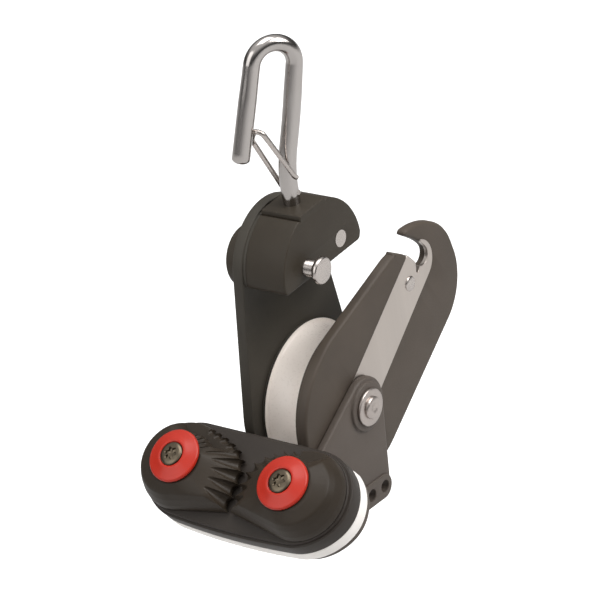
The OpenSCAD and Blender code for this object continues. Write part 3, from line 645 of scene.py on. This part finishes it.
def make_bracket():
    """Two flat arms, a boss at the axle, a thickened foot with the rope holes, the plate under the pad."""
    plate_corners = np.array([tilted(ARM_FRONT, PLATE_LOW), tilted(ARM_FRONT, PAD_LOW - 0.05),
                              tilted(PAD_REAR, PAD_LOW - 0.05), tilted(PAD_REAR, PLATE_LOW)])
    outline = convex(np.concatenate([circle(ARM_ROUND, ARM_ROUND_R), circle(LUG, LUG_R, 60),
                                     plate_corners]))
    bores = [ring(hole, ROPE_HOLE_R, 32) for hole in ROPE_HOLES]
    arms = (ARM_IN, ARM_OUT, 0.2, 0.7), (LEFT_ARM_OUT, LEFT_ARM_IN, 0.7, 0.2)
    for k, (a, b, r0, r1) in enumerate(arms):
        points, faces = plate([outline, *bores], a, b, r0, r1, 0.02)
        piece(f"bracket_arm_{k}", on_block(across(points)), faces, BRACKET, "block",
              ("cleat_bracket",) if k == 0 else ())
    # thickened foot
    foot = convex(np.concatenate([circle(LUG, FOOT_R, 60), circle(FOOT_FRONT, FOOT_R, 60)]))
    points, faces = plate([foot, *bores], ARM_OUT - 0.3, ARM_OUT + 0.5, 0.02, 0.35, 0.12)
    piece("bracket_foot", on_block(across(points)), faces, BRACKET, "block")
    # boss under the washer
    profile = [(0, -0.4), (7.6, -0.4), (7.6, 0.02), (7.4, 0.1), (7.35, 0.6), (7.2, 0.82), (6.9, 0.9),
               (0, 0.9)]
    p, f = lathe(profile, 96)
    piece("bracket_boss", on_block(axle_wise(p, ARM_OUT)), f, BRACKET, "block", sharp=50)
    points, faces = plate([pad_outline(*PLATE_SIZE)], PLATE_LOW, PAD_LOW - 0.02, 0.3, 0.15)
    piece("bracket_plate", on_cleat(points), faces, BRACKET, "block")


# ---- cleat --------------------------------------------------------------------------------------
def make_pad_and_base():
    """White pad under a black base whose top edge steps in."""
    points, faces = plate([pad_outline(*PAD_SIZE)], PAD_LOW, BASE_LOW, 0.35, 0.3)
    piece("white_pad", on_cleat(points), faces, PAD_WHITE, "block", ("cleat_pad",))
    points, faces = plate([stadium(*BASE_SIZE)], BASE_LOW, BASE_TOP - 1.2, 0.2, 0.35)
    piece("base_foot", on_cleat(points), faces, BASE_BLACK, "block", ("cleat_base",))
    points, faces = plate([stadium(*STEP_SIZE)], BASE_TOP - 1.4, BASE_TOP, 0.02, 0.4)
    piece("base_step", on_cleat(points), faces, BASE_BLACK, "block")


TEETH, TOOTH_STEPS = 9, 26
PITCH_FRONT, PITCH_REAR = 4.0, 2.6
CAM_BACK, CAM_BACK_R = np.array([-2.0, 0.0]), 13.1
TOOTH_LINE = np.array([[18.4, -9.7], [18.8, -8.8], [18.8, -0.5], [18.5, 2.4], [17.2, 5.6], [14.4, 8.4],
                       [9.6, 10.6], [3.2, 12.3]])
FAN = np.array([-5.0, -2.0])


def within(p, line):
    """How far points lie inside a run of straight sides, as the least distance to any side's line."""
    a, b = line[:-1], line[1:]
    side = (b - a) / np.linalg.norm(b - a, axis=1, keepdims=True)
    square = np.stack([-side[:, 1], side[:, 0]], -1)
    return np.min(np.einsum("...k,nk->...n", p, square) - np.sum(a * square, 1), axis=-1)


def along_line(line, at):
    """Points at given shares of the length of a run of straight sides."""
    step = np.concatenate([[0], np.cumsum(np.linalg.norm(np.diff(line, axis=0), axis=1))])
    at = np.asarray(at) * step[-1]
    return np.stack([np.interp(at, step, line[:, 0]), np.interp(at, step, line[:, 1])], -1)


def lower_of(a, b, blend):
    """The lower of two heights, with the crease between them rounded over about the blend length."""
    return np.minimum(a, b) - blend * np.log1p(np.exp(-np.abs(a - b) / blend))


def make_cam(side, name):
    """A cam as heights over its own plan, the least of three: a back that rises with the distance inside
    the outline, a tooth face that rises from its tips at a steep slope, and a shallow crown that falls from
    the cap's rim. Round flutes lie along the tooth face: their depth below it is the root of r^2 - t^2, t
    being the distance from the flute's own line. They shrink inwards, and their pitch falls as a constant
    share from front to rear."""
    count = np.linspace(0, 1, TEETH * TOOTH_STEPS + 1)
    growth = np.log(PITCH_REAR / PITCH_FRONT)
    face = along_line(TOOTH_LINE, np.expm1(growth * count) / np.expm1(growth))
    first, last = TOOTH_LINE[-1], TOOTH_LINE[0]

    def touch(p, sign):
        """Where a straight line from a point touches the round back."""
        away = p - CAM_BACK
        return np.arctan2(away[1], away[0]) + sign * np.arccos(CAM_BACK_R / np.hypot(*away))

    turn = np.linspace(touch(first, 1), touch(last, -1) + 2 * np.pi, 150)
    back = CAM_BACK + CAM_BACK_R * np.stack([np.cos(turn), np.sin(turn)], -1)
    rim = np.concatenate([along_line(np.array([first, back[0]]), np.linspace(0, 1, 8)[1:-1]), back,
                          along_line(np.array([back[-1], last]), np.linspace(0, 1, 40)[1:-1])])
    outer = np.concatenate([[first], back, [last]])
    plan = np.concatenate([face, rim])
    out = plan - FAN
    reach = np.linalg.norm(out, axis=1)
    out = out / reach[:, None]
    # place across each flute, from -1/2 to 1/2 of a pitch; none on the back
    pitch = np.concatenate([PITCH_FRONT * np.exp(growth * count), np.full(len(rim), 3.0)])
    across_flute = np.concatenate([np.arange(len(face)) / TOOTH_STEPS % 1 - 0.5, np.full(len(rim), 9.0)])
    across_flute[len(face) - 1] = 0.5
    notch = np.sqrt(np.maximum(0, 0.235 - across_flute ** 2)) * pitch
    plan = plan - notch[:, None] * out
    share = np.concatenate([np.linspace(0, 0.42, 5), np.linspace(0.46, 1, 72)])[:, None, None]
    p = FAN + share * (plan - FAN)
    r = np.hypot(p[..., 0], p[..., 1])
    d_back = within(p, outer)
    d_face = within(p, TOOTH_LINE)
    shell = np.interp(d_back, [0, 0.3, 1.2, 2.2, 3.6, 8], [0.9, 2.3, 4.6, 6.5, 8.2, 12.0])
    slope = np.arctan((CAM_H - TIP_H - 2) / 5.6)
    ramp = TIP_H + d_face * np.tan(slope)
    # radius about the pivot of the line where the crown breaks, by direction
    look = np.linspace(-np.pi, np.pi, 181)
    near, far, tries = 8.4, 16, 77
    ray = np.linspace(near, far, tries)[:, None, None] * np.stack([np.cos(look), np.sin(look)], -1)
    inside = (within(ray, outer) > 2.4) & (within(ray, TOOTH_LINE) > 5.6)
    edge = 8.6 + inside.sum(0) * (far - near) / (tries - 1)
    edge = np.interp(np.arctan2(p[..., 1], p[..., 0]), look, edge)
    crown = CAM_H - 2 * np.clip((r - 8.3) / (edge - 8.3), -0.4, 3)
    body = lower_of(lower_of(shell, crown, 0.12), np.full(r.shape, CAM_H), 0.02)
    body = lower_of(body, ramp, 0.12)
    t = across_flute * pitch * np.clip(np.linalg.norm(p - FAN, axis=-1) / reach, 0.1, 1)
    radius = pitch * np.interp(d_face, [-2, 0, 3, 6.6], [0.6, 0.52, 0.36, 0.1])
    depth = np.sqrt(np.maximum(0, radius ** 2 - t ** 2)) / np.cos(slope)
    height = np.where((depth > 0) & (d_face < 6.8), np.minimum(body, ramp - depth), body)
    height = np.maximum(height, 0.5)
    top = np.concatenate([p, height[..., None]], -1)
    wall = np.concatenate([plan, np.full((len(plan), 1), 0.3)], -1)[None]
    foot = np.concatenate([plan - 0.3 * out, np.zeros((len(plan), 1))], -1)[None]
    pole = np.concatenate([FAN, [0]]) + 0 * foot
    rows = np.concatenate([top, wall, foot, pole]) * [-side, 1, 1] + [side * CAM_PITCH / 2, 0, CAM_LOW]
    piece(f"{name}_cam_body", on_cleat(rows.reshape(-1, 3)), quads(len(rows), len(plan)), CAM_BLACK,
          f"{name}_cam", (f"cam_{name}",), sharp=38)


def make_cap_and_screw(side, name):
    """Red cap: low cone with rounded rim and a round recess; screw with a dished head and a lobed socket."""
    z0 = CAM_TOP + 0.3
    a = np.linspace(0, np.pi / 2, 6)
    profile = np.concatenate([[(3.55, 0), (7.6, 0)],
                              np.stack([7.6 + 0.3 * np.sin(a), 0.3 - 0.3 * np.cos(a)], -1),
                              np.stack([7.2 + 0.7 * np.cos(a), 0.6 + 0.62 * np.sin(a)], -1),
                              [(5.2, 1.95), (4.4, 2.22), (4.0, 2.3), (3.7, 2.2), (3.55, 1.9)]])
    p, f = lathe(profile, 96)
    p = p + [side * CAM_PITCH / 2, 0, z0]
    piece(f"cap_{name}", on_cleat(p), f, RED, "block", ("cam_caps",) if side < 0 else (), sharp=50)
    turn = np.linspace(0, 2 * np.pi, 96, endpoint=False)
    lobes = 1 + 0.22 * np.cos(6 * turn)
    # radius, height below the top, and whether the row follows the lobes
    rings = [(0, SCREW_END - SCREW_TOP, 0), (2.0, SCREW_END - SCREW_TOP, 0), (2.0, -1.4, 0), (3.4, -1.3, 0),
             (3.45, -0.5, 0), (3.2, -0.25, 0), (2.6, -0.1, 0), (1.75, -0.05, 1), (1.6, -0.2, 1),
             (1.45, -0.8, 1), (0.7, -0.95, 1), (0, -0.95, 0)]
    radius, height, lobed = np.array(rings).T[..., None]
    radius = radius * np.where(lobed > 0, lobes, 1)
    rows = np.stack([radius * np.cos(turn), radius * np.sin(turn), height + 0 * turn], -1)
    p = rows.reshape(-1, 3) + [side * CAM_PITCH / 2, 0, SCREW_TOP - 0.05]
    piece(f"screw_{name}", on_cleat(p), quads(len(rows), 96), SCREW, "block",
          ("cam_screws",) if side < 0 else (), sharp=40)


def finish_hidden():
    """Finishes for the nodes that are shown as they are."""
    shown = {"hook_collar": BRIGHT, "thrust_washer": BRONZE, "head_rivet": BRIGHT, "plunger_spring": BRIGHT,
             "sheave_bush": BRONZE, "cam_springs": BRIGHT, "cleat_nuts": BRIGHT}
    for name, mat in shown.items():
        mesh = nodes[name].data
        mesh.materials.clear()
        mesh.materials.append(mat)


# ---- stage --------------------------------------------------------------------------------------
FLOOR_HALF, FLOOR_DROP = 4.0, 0.09
FLOOR_GREY, FLOOR_GLOW = 0.6, 0.6
# (height, grey) of the room: 0 is straight below and 1 is straight above
ROOM = [(0.0, 0.30), (0.46, 0.22), (0.52, 0.06), (0.66, 0.12), (0.86, 0.75)]


def make_floor():
    """Pale floor a little way under the hanging block, with a glow that only the camera sees."""
    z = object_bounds()[0][2] - FLOOR_DROP
    corners = [(x * FLOOR_HALF, y * FLOOR_HALF, z) for x, y in ((-1, -1), (1, -1), (1, 1), (-1, 1))]
    mesh = bpy.data.meshes.new("floor")
    mesh.from_pydata(corners, [], [(0, 1, 2, 3)])
    floor = bpy.data.objects.new("floor", mesh)
    bpy.context.scene.collection.objects.link(floor)
    mat = bpy.data.materials.new("floor_paper")
    mat.use_nodes = True
    n, link = mat.node_tree.nodes, mat.node_tree.links
    n.clear()
    out = n.new("ShaderNodeOutputMaterial")
    diffuse = n.new("ShaderNodeBsdfDiffuse")
    diffuse.inputs["Color"].default_value = (FLOOR_GREY, FLOOR_GREY, FLOOR_GREY, 1)
    glow = n.new("ShaderNodeEmission")
    rays = n.new("ShaderNodeLightPath")
    scale = n.new("ShaderNodeMath")
    scale.operation = "MULTIPLY"
    scale.inputs[1].default_value = FLOOR_GLOW
    link.new(rays.outputs["Is Camera Ray"], scale.inputs[0])
    link.new(scale.outputs[0], glow.inputs["Strength"])
    both = n.new("ShaderNodeAddShader")
    link.new(diffuse.outputs[0], both.inputs[0])
    link.new(glow.outputs[0], both.inputs[1])
    link.new(both.outputs[0], out.inputs["Surface"])
    mesh.materials.append(mat)


def make_world():
    """A world that is plain white to the camera, and to every other ray a grey room graded by height, so
    that metal shows a darker horizon and a bright ceiling."""
    world = bpy.data.worlds.new("studio")
    bpy.context.scene.world = world
    world.use_nodes = True
    n, link = world.node_tree.nodes, world.node_tree.links
    back = n["Background"]
    where = n.new("ShaderNodeTexCoord")
    split = n.new("ShaderNodeSeparateXYZ")
    link.new(where.outputs["Generated"], split.inputs[0])
    height = n.new("ShaderNodeMapRange")
    height.inputs["From Min"].default_value = -1
    link.new(split.outputs["Z"], height.inputs["Value"])
    ramp = n.new("ShaderNodeValToRGB")
    ramp.color_ramp.elements.new(0.5)
    ramp.color_ramp.elements.new(0.6)
    ramp.color_ramp.elements.new(0.78)
    for stop, (place, grey) in zip(ramp.color_ramp.elements, ROOM):
        stop.position = place
        stop.color = (grey, grey, grey, 1)
    link.new(height.outputs["Result"], ramp.inputs["Fac"])
    rays = n.new("ShaderNodeLightPath")
    mix = n.new("ShaderNodeMix")
    mix.data_type = "RGBA"
    mix.inputs["B"].default_value = (1, 1, 1, 1)
    link.new(rays.outputs["Is Camera Ray"], mix.inputs["Factor"])
    link.new(ramp.outputs["Color"], mix.inputs["A"])
    link.new(mix.outputs["Result"], back.inputs["Color"])
    back.inputs["Strength"].default_value = 1.0


def lamp(name, place, size, watts, target):
    """Soft square lamp that points at the target."""
    light = bpy.data.lights.new(name, "AREA")
    light.size = size
    light.energy = watts
    obj = bpy.data.objects.new(name, light)
    obj.location = place
    obj.rotation_euler = (Vector(target) - Vector(place)).to_track_quat("-Z", "Y").to_euler()
    bpy.context.scene.collection.objects.link(obj)


def make_camera():
    """Long lens looking down on the front right corner, turned so that the block's own axis leans left."""
    azimuth, elevation, roll = np.radians([40.84, 28.56, -10.83])
    distance, lens = 0.832, 172.98
    back = np.array([np.sin(azimuth) * np.cos(elevation), -np.cos(azimuth) * np.cos(elevation),
                     np.sin(elevation)])
    right = np.array([np.cos(azimuth), np.sin(azimuth), 0])
    up = np.cross(back, right)
    r = right * np.cos(roll) + up * np.sin(roll)
    u = -right * np.sin(roll) + up * np.cos(roll)
    data = bpy.data.cameras.new("camera")
    data.sensor_width = 36
    data.lens = lens
    data.clip_start = 0.05
    cam = bpy.data.objects.new("camera", data)
    place = AXLE + (r * -8.35 + u * 28.14) * MM + back * distance
    m = Matrix([[r[i], u[i], back[i], place[i]] for i in range(3)] + [[0, 0, 0, 1]])
    cam.matrix_world = m
    bpy.context.scene.collection.objects.link(cam)
    bpy.context.scene.camera = cam
    return right, up, back


make_hook()
make_gate()
make_head()
make_fixed_cheek()
make_latch()
make_sheave()
make_axle()
make_swing_cheek()
make_strap()
make_bracket()
make_pad_and_base()
for side, name in ((-1, "left"), (1, "right")):
    make_cam(side, name)
    make_cap_and_screw(side, name)
finish_hidden()
make_floor()
make_world()
right, up, back = make_camera()
middle = AXLE + np.array([0, 0, 0.02])
lamp("key", middle + 1.05 * right + 0.65 * up + 0.75 * back, 0.9, 16, middle)
lamp("fill", middle - 1.1 * right + 0.3 * up + 0.8 * back, 1.1, 6, middle)
lamp("top", middle + np.array([0, 0.1, 1.3]), 0.9, 9, middle)
bpy.context.scene.view_settings.view_transform = "Standard"
